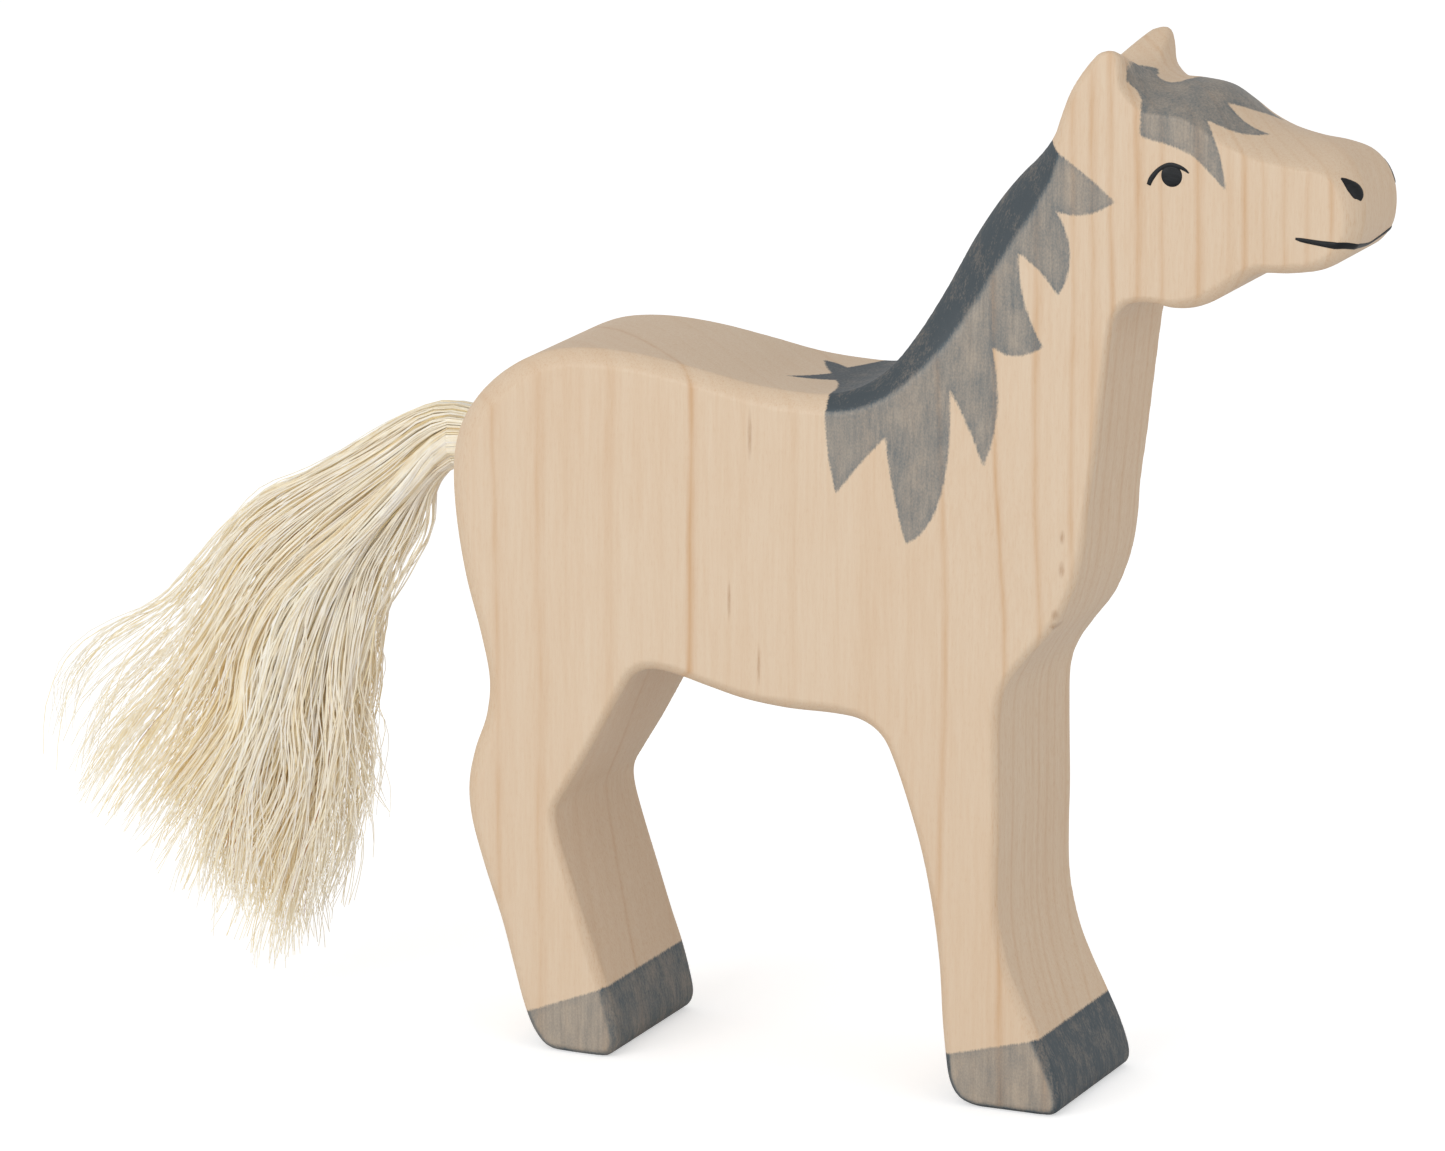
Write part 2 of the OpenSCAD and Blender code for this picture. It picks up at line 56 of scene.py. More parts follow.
# ---------------------------------------------------------------- the sawn blank, as in part.scad
# Each row is (x, z, edge, across): a point of the outline, clockwise seen from the right side,
# how far the rounded edge reaches inwards there and how far it reaches across the plank.
OUTLINE = [
    # back
    (-33.6, 83, 3.8, 3.5), (-32.6, 88.5, 3.8, 3.5), (-30, 93, 3.6, 3.3), (-26.5, 96.6, 3.4, 3),
    (-22, 99.6, 2.8, 2.6), (-17, 101.5, 2.4, 2.4), (-10.5, 102.2, 2.3, 2.4), (-3, 101.8, 2.2, 2.4),
    (5, 100.6, 2.2, 2.4), (12.5, 99.3, 2.3, 2.4), (19, 98.8, 2.4, 2.4), (24.5, 98.9, 2.6, 2.6),
    # crest
    (29, 100.3, 3.2, 3), (32.8, 103.2, 4, 3.4), (36, 107.6, 5, 3.8), (39.3, 113.4, 6, 4.2),
    (43, 120.5, 6.5, 4.5), (46.5, 126, 6.5, 4.5), (49.9, 130.3, 6, 4.3), (53.3, 133.7, 4.6, 3.6),
    # ear
    (55.8, 136.8, 2.6, 2.4), (57.2, 140.2, 1.8, 1.8), (58.8, 143.8, 1.4, 1.4), (61, 147, 1.2, 1.2),
    (63.2, 149.3, 0.9, 1), (64.9, 149.8, 0.7, 0.8), (65.9, 148.6, 0.7, 0.8), (66.5, 146.8, 1, 1.5),
    (67.6, 145.2, 2, 4.5),
    # face
    (69.8, 144.6, 3.3, 8.5), (73.2, 144.6, 3.5, 9.5), (76.8, 144.1, 3.6, 9.5), (79.8, 142.4, 3.4, 9.5),
    (82.6, 140.5, 3.2, 9.3), (86, 139, 3, 9.1), (90, 138.1, 2.8, 8.8), (93.6, 137.6, 2.6, 8),
    (96.6, 136.4, 2.4, 6), (98.7, 134.2, 2.4, 4.5), (99.7, 131.3, 2.4, 3.4), (99.8, 128, 2.2, 3),
    (99, 125.2, 2, 2.6),
    # jaw
    (97, 122.9, 1.8, 2.2), (94, 121.4, 1.6, 2), (90, 120.7, 1.6, 2), (85.6, 120.3, 1.6, 2),
    (83, 118.7, 1.7, 2), (80.6, 116.9, 1.8, 2), (77.5, 115.3, 1.8, 2), (74, 114.7, 1.6, 1.8),
    (70.5, 115.2, 1.2, 1.4), (67.4, 114.8, 1, 1), (65.6, 112.8, 0.8, 0.9),
    # chest
    (64.9, 109.8, 0.8, 0.9), (64, 102.5, 0.8, 0.9), (62.9, 93, 0.8, 0.9), (62, 86.2, 0.8, 0.9),
    (61.5, 80.3, 0.9, 0.9), (60.4, 75, 1, 1), (57.8, 69.2, 1, 1), (54.2, 64.6, 1, 1),
    (51.6, 60.8, 1, 1),
    # foreleg front
    (50.5, 57, 1, 1), (50.4, 51, 1, 1), (50.6, 41, 1, 1), (50.5, 34.5, 1, 1), (50.6, 28.5, 1, 1),
    (51.2, 24.5, 1.1, 1.1), (52.5, 19.8, 1.2, 1.2), (54.4, 15.6, 1.4, 1.4), (56.6, 11.4, 1.5, 1.5),
    (58.8, 6.8, 1.5, 1.5), (60, 2.6, 1.2, 1.2), (59.4, 0.5, 1, 1),
    # fore sole
    (57, 0, 1, 1), (52, 0, 1, 1), (48, 0, 1, 1),
    # foreleg rear
    (45, 0.8, 1.2, 1.2), (43.3, 3.2, 1.4, 1.4), (42.5, 7.6, 1.6, 1.6), (42, 13, 1.6, 1.6),
    (41.6, 19.5, 1.6, 1.6), (40.6, 27, 1.6, 1.6), (39, 34.8, 1.6, 1.6), (37, 41.5, 1.6, 1.6),
    # belly
    (34.7, 47.8, 1.6, 1.6), (32.7, 51.4, 1.7, 1.7), (29.6, 53.3, 1.8, 1.8), (25.5, 53.8, 1.8, 1.8),
    (18.5, 53.8, 1.8, 1.8), (12, 54.4, 1.8, 1.8), (6.5, 55.6, 1.8, 1.8), (1.5, 56.8, 1.8, 1.8),
    (-2.2, 57.2, 1.6, 1.6),
    # hindleg front
    (-4.8, 56.1, 1.2, 1.2), (-6.7, 53.2, 1, 1), (-9.2, 48.7, 1, 1), (-12.2, 43.3, 1, 1),
    (-15, 38.7, 1, 1), (-16.6, 35.8, 1, 1), (-16.7, 33.2, 1, 1), (-15.6, 29, 1, 1),
    (-13, 21.4, 1.2, 1.2), (-10.8, 15, 1.4, 1.4), (-9.1, 10.4, 1.5, 1.5), (-7.9, 6.2, 1.5, 1.5),
    (-7.4, 2.6, 1.2, 1.2), (-8.4, 0.5, 1, 1),
    # hind sole
    (-10.5, 0, 1, 1), (-14.5, 0, 1, 1),
    # hindleg rear
    (-18.2, 0.3, 1.2, 1.2), (-20.6, 2.4, 1.6, 1.6), (-22.3, 6, 1.8, 1.8), (-23.8, 11, 1.9, 1.9),
    (-25.8, 18, 2, 2), (-28.5, 25.4, 2.2, 2.2), (-30.6, 32, 2.5, 2.5), (-31.2, 37.2, 2.8, 2.8),
    (-30.2, 42.4, 2.8, 2.8), (-28.3, 47.6, 2.6, 2.6), (-27.8, 53, 2.6, 2.6), (-29.2, 59.4, 2.8, 2.8),
    (-31.5, 67.2, 3.2, 3), (-33.1, 75.4, 3.6, 3.3),
]
EDGE_POWER = 1.4
HALF_TRUNK = 14.0
HALF_NECK = 10.5
HALF_MUZZLE = 9.0
# The neck tapers between these two lines, each from the crest to the chest
TAPER_START = ((24.5, 98.9), (50.5, 57.0))
TAPER_END = ((43.0, 120.5), (62.0, 86.2))
# The muzzle tapers from the brow to its end
BROW_X = 76.8
MUZZLE_END_X = 99.8
MUZZLE_Z = 100.0
GROOVE_Z = 145.2
GROOVE_SLOPE = math.radians(26)
GROOVE_RADIUS = 1.0
RIM_RADIUS = 0.8
BORE_Z = 85.0
BORE_RADIUS = 5.0
BORE_END_X = -16.7
BORE_RIM = 0.5
# Spacing of the grid that the wood's surface is taken from, and two corners of its box. They keep
# the grid's planes off the flat faces of the wood.
GRID = 0.42
GRID_LOW, GRID_HIGH = (-35.03, -15.07, -1.03), (101.6, 15.6, 151.6)


def spline_loop(rows, steps):
    """Catmull-Rom curve through a closed list of rows, with that many samples a row."""
    rows = np.array(rows, float)
    before, after, beyond = np.roll(rows, 1, 0), np.roll(rows, -1, 0), np.roll(rows, -2, 0)
    u = (np.arange(steps) / steps)[:, None, None]
    curve = 2 * rows + (after - before) * u
    curve = curve + (2 * before - 5 * rows + 4 * after - beyond) * u**2
    curve = curve + (3 * rows - before - 3 * after + beyond) * u**3
    return (curve / 2).transpose(1, 0, 2).reshape(-1, rows.shape[1])


def spline_through(rows, steps):
    """Catmull-Rom curve from the first row to the last, with that many samples between two rows."""
    rows = np.array(rows, float)
    padded = np.concatenate([2 * rows[:1] - rows[1:2], rows, 2 * rows[-1:] - rows[-2:-1]])
    curve = []
    for a, b, c, d in zip(padded, padded[1:], padded[2:], padded[3:]):
        for u in np.arange(steps) / steps:
            cubic = (2 * a - 5 * b + 4 * c - d) * u * u + (3 * b - a - 3 * c + d) * u**3
            curve.append((2 * b + (c - a) * u + cubic) / 2)
    return np.array(curve + [rows[-1]])


def signed_distance(points, loop):
    """Distance from 2D points to a closed loop, above 0 inside it, with the nearest place's own values."""
    start, end = loop, np.roll(loop, -1, 0)
    step = end[:, :2] - start[:, :2]
    length2 = np.maximum((step**2).sum(1), 1e-12)
    distance = np.empty(len(points))
    values = np.empty((len(points), loop.shape[1] - 2))
    for low in range(0, len(points), 4096):
        p = points[low : low + 4096]
        rel = p[:, None, :] - start[None, :, :2]
        t = np.clip((rel * step).sum(2) / length2, 0, 1)
        away = ((rel - t[:, :, None] * step) ** 2).sum(2)
        near = away.argmin(1)
        row = np.arange(len(p))
        t_near = t[row, near][:, None]
        values[low : low + 4096] = start[near, 2:] * (1 - t_near) + end[near, 2:] * t_near
        above = start[None, :, 1] > p[:, 1:2]
        crosses = above != (end[None, :, 1] > p[:, 1:2])
        rise = np.where(step[:, 1] == 0, 1, step[:, 1])
        x_at = start[:, 0] + (p[:, 1:2] - start[:, 1]) / rise * step[:, 0]
        inside = (crosses & (p[:, 0:1] < x_at)).sum(1) % 2 == 1
        distance[low : low + 4096] = np.sqrt(away[row, near]) * np.where(inside, 1, -1)
    return distance, values


OUTLINE_STEPS = 8
outline = spline_loop(OUTLINE, OUTLINE_STEPS)
outline[:, 1] = np.maximum(outline[:, 1], 0)
FIELD_STEP = 0.5
field_x = np.arange(-37, 103, FIELD_STEP)
field_z = np.arange(-3, 154, FIELD_STEP)
grid_xz = np.stack(np.meshgrid(field_x, field_z, indexing="ij"), -1).reshape(-1, 2)
inset, edge_values = signed_distance(grid_xz, outline)
plan = np.concatenate([inset[:, None], edge_values], 1).reshape(len(field_x), len(field_z), 3)


def look_up(x, z):
    """Distance in from the outline and the edge's two widths at points of the side view."""
    u = np.clip((x - field_x[0]) / FIELD_STEP, 0, len(field_x) - 1.001)
    v = np.clip((z - field_z[0]) / FIELD_STEP, 0, len(field_z) - 1.001)
    i, j = u.astype(int), v.astype(int)
    u, v = (u - i)[:, None], (v - j)[:, None]
    low = plan[i, j] * (1 - u) + plan[i + 1, j] * u
    high = plan[i, j + 1] * (1 - u) + plan[i + 1, j + 1] * u
    return (low * (1 - v) + high * v).T


def smooth_step(t):
    t = np.clip(t, 0, 1)
    return t * t * (3 - 2 * t)


def past_line(x, z, line):
    """Distance past a line of the side view, towards the head."""
    (x0, z0), (x1, z1) = line
    length = math.hypot(x1 - x0, z1 - z0)
    return ((x - x0) * (z0 - z1) + (z - z0) * (x1 - x0)) / length


def half_thickness(x, z):
    past_start = past_line(x, z, TAPER_START)
    to_end = -past_line(x, z, TAPER_END)
    share = np.where(to_end <= 0, 1, past_start / np.maximum(past_start + to_end, 1e-6))
    share = np.where(past_start <= 0, 0, share)
    half = HALF_TRUNK - (HALF_TRUNK - HALF_NECK) * smooth_step(share)
    muzzle = np.clip((x - BROW_X) / (MUZZLE_END_X - BROW_X), 0, 1) * (z > MUZZLE_Z)
    return half - (HALF_NECK - HALF_MUZZLE) * muzzle


def soft_min(a, b, radius):
    """The smaller of two fields, with the crease between them rounded."""
    share = np.clip(0.5 + 0.5 * (b - a) / radius, 0, 1)
    return b + (a - b) * share - radius * share * (1 - share)


def wood(points):
    """Field of the wood at (N, 3) points: about the depth below its surface, under 0 outside it."""
    x, y, z = points.T
    inset, edge, across = look_up(x, z)
    depth = half_thickness(x, z) - np.abs(y)
    in_part = np.maximum(1 - inset / edge, 0) ** EDGE_POWER
    across_part = np.maximum(1 - depth / across, 0) ** EDGE_POWER
    both = np.maximum(in_part + across_part, 1e-9)
    scale = (in_part * edge + across_part * across) / both
    rounded = (1 - both ** (1 / EDGE_POWER)) * scale
    field = np.where(both > 1e-6, rounded, np.minimum(inset, depth))
    ridge = np.sqrt(y**2 + GROOVE_RADIUS**2) - GROOVE_RADIUS
    groove = (GROOVE_Z + ridge * math.tan(GROOVE_SLOPE) - z) * math.cos(GROOVE_SLOPE)
    field = soft_min(field, groove, RIM_RADIUS)
    bore = np.maximum(np.hypot(y, z - BORE_Z) - BORE_RADIUS, x - BORE_END_X)
    return soft_min(field, bore, BORE_RIM)


def gradient(points):
    reach = 0.12
    steps = np.eye(3) * reach
    return np.stack([wood(points + s) - wood(points - s) for s in steps], 1) / (2 * reach)


def press(points, rounds=4):
    """Points moved along the field onto the wood's surface, and the outward normals there."""
    for _ in range(rounds):
        slope = gradient(points)
        size2 = np.maximum((slope**2).sum(1), 0.05)
        points = points - slope * np.clip(wood(points) / size2, -0.6, 0.6)[:, None]
    slope = gradient(points)
    return points, -slope / np.maximum(np.linalg.norm(slope, axis=1), 1e-6)[:, None]


def surface_net():
    """Quads over the zero level of the wood's field, one vertex in each grid cell that it crosses."""
    xs, ys, zs = (np.arange(low, high, GRID) for low, high in zip(GRID_LOW, GRID_HIGH))
    shape = (len(xs), len(ys), len(zs))
    field = np.empty(shape, np.float32)
    for i, x in enumerate(xs):
        y, z = np.meshgrid(ys, zs, indexing="ij")
        at = np.stack([np.full(y.size, x), y.ravel(), z.ravel()], 1)
        field[i] = wood(at).reshape(y.shape)
    full = field > 0
    corners = [(i, j, k) for i in (0, 1) for j in (0, 1) for k in (0, 1)]
    cut = [tuple(slice(c, n - 1 + c) for c, n in zip(corner, shape)) for corner in corners]
    count = sum(full[c].astype(np.int8) for c in cut)
    cells = np.argwhere((count > 0) & (count < 8))
    number = np.full(shape, -1, np.int32)
    number[tuple(cells.T)] = np.arange(len(cells))
    value = np.stack([field[tuple((cells + c).T)] for c in np.array(corners)], 1)
    total = np.zeros((len(cells), 3))
    crossings = np.zeros(len(cells))
    for a in range(8):
        for b in range(a + 1, 8):
            first, last = np.array(corners[a]), np.array(corners[b])
            if np.abs(last - first).sum() != 1:
                continue
            crosses = (value[:, a] > 0) != (value[:, b] > 0)
            gap = np.where(crosses, value[:, a] - value[:, b], 1)
            share = np.where(crosses, value[:, a] / gap, 0)
            total += crosses[:, None] * (first + (last - first) * share[:, None])
            crossings += crosses
    origin = np.array([xs[0], ys[0], zs[0]])
    points = origin + GRID * (cells + total / crossings[:, None])
    quads = []
    for axis in range(3):
        step = np.eye(3, dtype=int)[axis]
        side, up = np.eye(3, dtype=int)[(axis + 1) % 3], np.eye(3, dtype=int)[(axis + 2) % 3]
        low = tuple(slice(0, n - s) for n, s in zip(shape, step))
        high = tuple(slice(s, n) for n, s in zip(shape, step))
        edges = np.argwhere(full[low] != full[high])
        quad = np.stack([number[tuple((edges - o).T)] for o in (0 * side, side, side + up, up)], 1)
        outwards = full[tuple(edges.T)]
        quads.append(np.where(outwards[:, None], quad, quad[:, ::-1]))
    return points, np.concatenate(quads)


def mesh_object(name, points_mm, faces, material):
    """Mesh object from points in millimetres. faces is an (M, n) array."""
    mesh = bpy.data.meshes.new(name)
    faces = np.asarray(faces, np.int32)
    mesh.vertices.add(len(points_mm))
    mesh.vertices.foreach_set("co", (np.asarray(points_mm) * MM).astype(np.float32).ravel())
    mesh.loops.add(faces.size)
    mesh.loops.foreach_set("vertex_index", faces.ravel())
    mesh.polygons.add(len(faces))
    mesh.polygons.foreach_set("loop_start", np.arange(0, faces.size, faces.shape[1], dtype=np.int32))
    mesh.polygons.foreach_set("use_smooth", np.ones(len(faces), bool))
    mesh.update(calc_edges=True)
    mesh.validate()
    mesh.materials.append(material)
    obj = bpy.data.objects.new(name, mesh)
    bpy.context.scene.collection.objects.link(obj)
    return obj


def set_attribute(obj, name, values):
    attribute = obj.data.attributes.new(name, "FLOAT", "POINT")
    attribute.data.foreach_set("value", np.asarray(values, np.float32))


# ---------------------------------------------------------------- where the stain lies
# A stain's outline runs corner, through, corner, ...: each stretch between two corners is a curve
# through the point between them. Side view (x, z).
MANE_SIDE = [
    (24.6, 99.5), (25.0, 92.0), (26.4, 85.5), (29.8, 89.8), (33.5, 94.0), (34.8, 86.8),
    (36.8, 79.4), (41.6, 86.4), (42.2, 101.1), (44.8, 96.4), (47.3, 90.8), (48.9, 98.5),
    (48.0, 107.3), (51.4, 106.4), (55.4, 108.0), (52.6, 114.0), (51.7, 120.7), (54.8, 118.4),
    (57.5, 115.3), (59.2, 121.0), (57.2, 126.9), (61.4, 126.8), (65.6, 128.9), (61.6, 132.1),
    (56.8, 135.2), (54.0, 137.5), (50.0, 140.0), (30.0, 130.0), (10.0, 105.0), (18.0, 102.0),
]
# On the withers, seen from above (x, y)
MANE_TOP = [
    (24.6, -16.0), (23.8, -8.0), (21.4, -2.8), (18.4, -3.7), (14.7, -4.3), (17.4, -1.8),
    (19.3, 0.8), (17.4, 3.4), (15.3, 7.2), (17.8, 6.4), (19.8, 4.9), (21.4, 8.5),
    (24.6, 16.0), (50.0, 18.0), (80.0, 16.0), (85.0, 0.0), (80.0, -16.0), (50.0, -18.0),
]
# On the head, unrolled (x, girth): girth is the way from the middle, across the top and down a side
FORELOCK = [
    (69.0, -16.9), (75.2, -18.2), (81.4, -19.8), (80.4, -15.6), (78.0, -11.5), (82.2, -8.8),
    (85.4, -4.6), (81.8, -5.3), (79.0, -4.2), (81.9, -0.4), (84.6, 4.0), (81.4, 5.6),
    (78.0, 10.0), (81.4, 14.0), (81.6, 19.8), (75.2, 18.2), (69.5, 16.9), (72.2, 11.0),
    (73.4, 4.0), (72.9, 1.5), (71.8, -2.2), (70.0, -3.1), (68.0, -1.6), (67.4, 0.6),
    (66.6, 1.1), (62.0, 1.4), (57.5, 1.3), (57.2, 0.0), (57.5, -1.3), (62.0, -1.4),
    (65.9, -2.6), (66.1, -5.5), (66.5, -9.2), (68.7, -11.0),
]
EAR_FRONT_X = 67.4
HEAD_Z = 125.0
# The rows of OUTLINE that lie on top: back, crest, ear and face
TOP_ROWS = 42
# On the rounded edge, the mane's outline passes from the side view to the view from above
TURN_START, TURN_WIDTH = 0.4, 1.4
WITHERS_X, WITHERS_Z = 32.0, 92.0
# The hooves: each is (first x, last x, height of the stain, x where it is that high, rise per mm of x)
HOOVES = [(-40.0, 15.0, 5.4, -21.2, 0.4), (15.0, 70.0, 7.2, 43.2, 0.27)]
# The stain's edge is only worked out this near to it
STAIN_REACH = 4.0


def stain_outline(points):
    """Closed loop of curves, each through the point between its two corners."""
    corners, through = np.array(points[0::2]), np.array(points[1::2])
    ends = np.roll(corners, -1, 0)
    control = 2 * through - (corners + ends) / 2
    t = np.linspace(0, 1, 12, endpoint=False)[:, None]
    loop = [c * (1 - t) ** 2 + 2 * k * t * (1 - t) + e * t**2 for c, k, e in zip(corners, control, ends)]
    return np.concatenate(loop)


def stain_depth(points):
    """Distance in from the edge of the nearest stained patch, under 0 on bare wood."""
    x, y, z = points.T
    side = signed_distance(points[:, [0, 2]], stain_outline(MANE_SIDE))[0]
    top = signed_distance(points[:, :2], stain_outline(MANE_TOP))[0]
    to_side = half_thickness(x, z) - np.abs(y)
    on_top = smooth_step((to_side - TURN_START) / TURN_WIDTH) * (x < WITHERS_X) * (z > WITHERS_Z)
    mane = side * (1 - on_top) + top * on_top
    tops = outline[: TOP_ROWS * OUTLINE_STEPS]
    order = np.argsort(tops[:, 0])
    top_z = np.interp(x, tops[order, 0], tops[order, 1])
    top_z = np.where(x < EAR_FRONT_X, GROOVE_Z, top_z)
    girth = np.sign(y) * (np.abs(y) + np.maximum(top_z - z, 0))
    forelock = signed_distance(np.stack([x, girth], 1), stain_outline(FORELOCK))[0]
    patches = [mane, np.where(z > HEAD_Z, forelock, -STAIN_REACH)]
    for first, last, high, high_x, rise in HOOVES:
        hoof = high + (x - high_x) * rise - z
        patches.append(np.where((x > first) & (x < last), hoof, -STAIN_REACH))
    return np.clip(np.max(patches, axis=0), -STAIN_REACH, STAIN_REACH)


# The wood's pores open between these distances in from the side face
EDGE_START, EDGE_WIDTH = 0.02, 0.3


def open_wood(points):
    """How open the pores are: 0 on a flat side face, 1 on its rounded edge and on a sawn wall."""
    x, y, z = points.T
    to_side = half_thickness(x, z) - np.abs(y)
    return np.clip((to_side - EDGE_START) / EDGE_WIDTH, 0, 1)


# ---------------------------------------------------------------- materials
def material_tree(name, roughness):
    """A new node material: the material, its node tree and its Principled shader."""
    material = bpy.data.materials.new(name)
    material.use_nodes = True
    shader = material.node_tree.nodes["Principled BSDF"]
    shader.inputs["Roughness"].default_value = roughness
    return material, material.node_tree, shader


def add(tree, kind, inputs, **settings):
    """A node with its settings, and its inputs linked to a socket or set to a value."""
    made = tree.nodes.new("ShaderNode" + kind)
    for key, value in settings.items():
        setattr(made, key, value)
    for key, value in inputs.items():
        if isinstance(value, bpy.types.NodeSocket):
            tree.links.new(value, made.inputs[key])
        else:
            made.inputs[key].default_value = value
    return made


def place_in_mm(tree):
    """The object's own coordinates, in millimetres."""
    place = add(tree, "TexCoord", {}).outputs["Object"]
    return add(tree, "VectorMath", {0: place, "Scale": 1 / MM}, operation="SCALE").outputs[0]


def calc(tree, operation, a, b=0.0, clamp=False):
    return add(tree, "Math", {0: a, 1: b}, operation=operation, use_clamp=clamp).outputs[0]


def stretched_noise(tree, place, per_mm, detail=2.0):
    """Noise, 0 to 1, with its own number of cells for each millimetre of x, y and z."""
    scaled = add(tree, "VectorMath", {0: place, 1: per_mm}, operation="MULTIPLY").outputs[0]
    inputs = {"Vector": scaled, "Scale": 1.0, "Detail": detail}
    return add(tree, "TexNoise", inputs).outputs[0]


def remap(tree, value, low, high, to_low=0.0, to_high=1.0):
    inputs = {"Value": value, "From Min": low, "From Max": high, "To Min": to_low, "To Max": to_high}
    return add(tree, "MapRange", inputs).outputs[0]


def vary(tree, noise, low=0.0, high=1.0):
    """Noise stretched so that most of it lies between low and high."""
    return remap(tree, noise, 0.3, 0.7, low, high)


def add_relief(tree, shader, height, strength, depth):
    """A bump on the shader, with its depth in millimetres."""
    bump = add(tree, "Bump", {"Strength": strength, "Distance": depth * MM, "Height": height})
    tree.links.new(bump.outputs[0], shader.inputs["Normal"])


def blend_colour(tree, share, a, b, kind="MIX"):
    inputs = {"Factor": share, "A": a, "B": b}
    made = add(tree, "Mix", {}, data_type="RGBA", blend_type=kind)
    for key, value in inputs.items():
        socket = next(s for s in made.inputs if s.name == key and s.enabled)
        if isinstance(value, bpy.types.NodeSocket):
            tree.links.new(value, socket)
        else:
            socket.default_value = value
    return next(s for s in made.outputs if s.enabled)


# Growth lines of the tree: (place across the rings in mm, strength). The rings run through the
# plank at a slant, so their place is x + RING_SLANT * y.
RING_SLANT = 1.2
GROWTH_LINES = [
    (-42.5, 0.5), (-36, 0.7), (-25.4, 0.6), (-12.9, 1.0), (3, 0.2), (14, 0.25), (25.6, 0.7),
    (34.9, 0.8), (41.3, 0.7), (46.5, 0.9), (49.6, 0.6), (52.4, 0.7), (56.1, 0.9), (59.3, 0.5),
    (64.5, 0.8), (68.9, 0.6), (71.4, 0.8), (74, 0.5), (77.6, 0.6), (81, 0.5), (84.8, 0.7), (92, 0.6),
]
RING_LOW, RING_HIGH = -60.0, 120.0
LINE_RISE, LINE_FADE = 0.25, 0.9
# A colour ramp holds 32 stops at most, and each line takes three
LINES_PER_RAMP = 7


def growth_ramp(tree, ring, lines):
    """Strength of the growth lines: each starts sharp and fades towards the newer wood."""
    ramp = add(tree, "ValToRGB", {"Fac": remap(tree, ring, RING_LOW, RING_HIGH)})
    stops = ramp.color_ramp.elements
    for place, strength in lines:
        for offset, level in ((-LINE_RISE, 0), (0, strength), (LINE_FADE, 0)):
            stop = stops.new((place + offset - RING_LOW) / (RING_HIGH - RING_LOW))
            stop.color = (level, level, level, 1)
    stops.remove(stops[len(stops) - 1])
    stops.remove(stops[0])
    return ramp.outputs[0]


# Short dark marks in the wood: (x, y, z, width, height) in mm
MARKS = [
    (13.4, -14, 92.5, 0.28, 2.6), (10.3, -14, 68.8, 0.22, 2.2), (14.8, -14, 60, 0.2, 2.2),
    (58.6, -11, 81.8, 0.3, 0.8), (58.7, -11, 77.4, 0.35, 0.9), (58, -11.6, 71.1, 0.4, 0.6),
    (57.8, -11.4, 69.2, 0.4, 0.6),
]
MAPLE = (0.70, 0.555, 0.407, 1)
MAPLE_WARM = (0.655, 0.478, 0.322, 1)
GROWTH_TINT = (0.80, 0.58, 0.36, 1)
MARK_TINT = (0.45, 0.27, 0.15, 1)
# One thin coat of the stain on a closed face, and the stain soaked deep into open pores
STAIN_THIN = (0.088, 0.120, 0.138, 1)
STAIN_DEEP = (0.050, 0.064, 0.074, 1)
BLACK, BLACK_THIN = (0.003, 0.004, 0.005, 1), (0.012, 0.014, 0.017, 1)
FIBRE_SHADE = (0.95, 0.91, 0.84, 1)


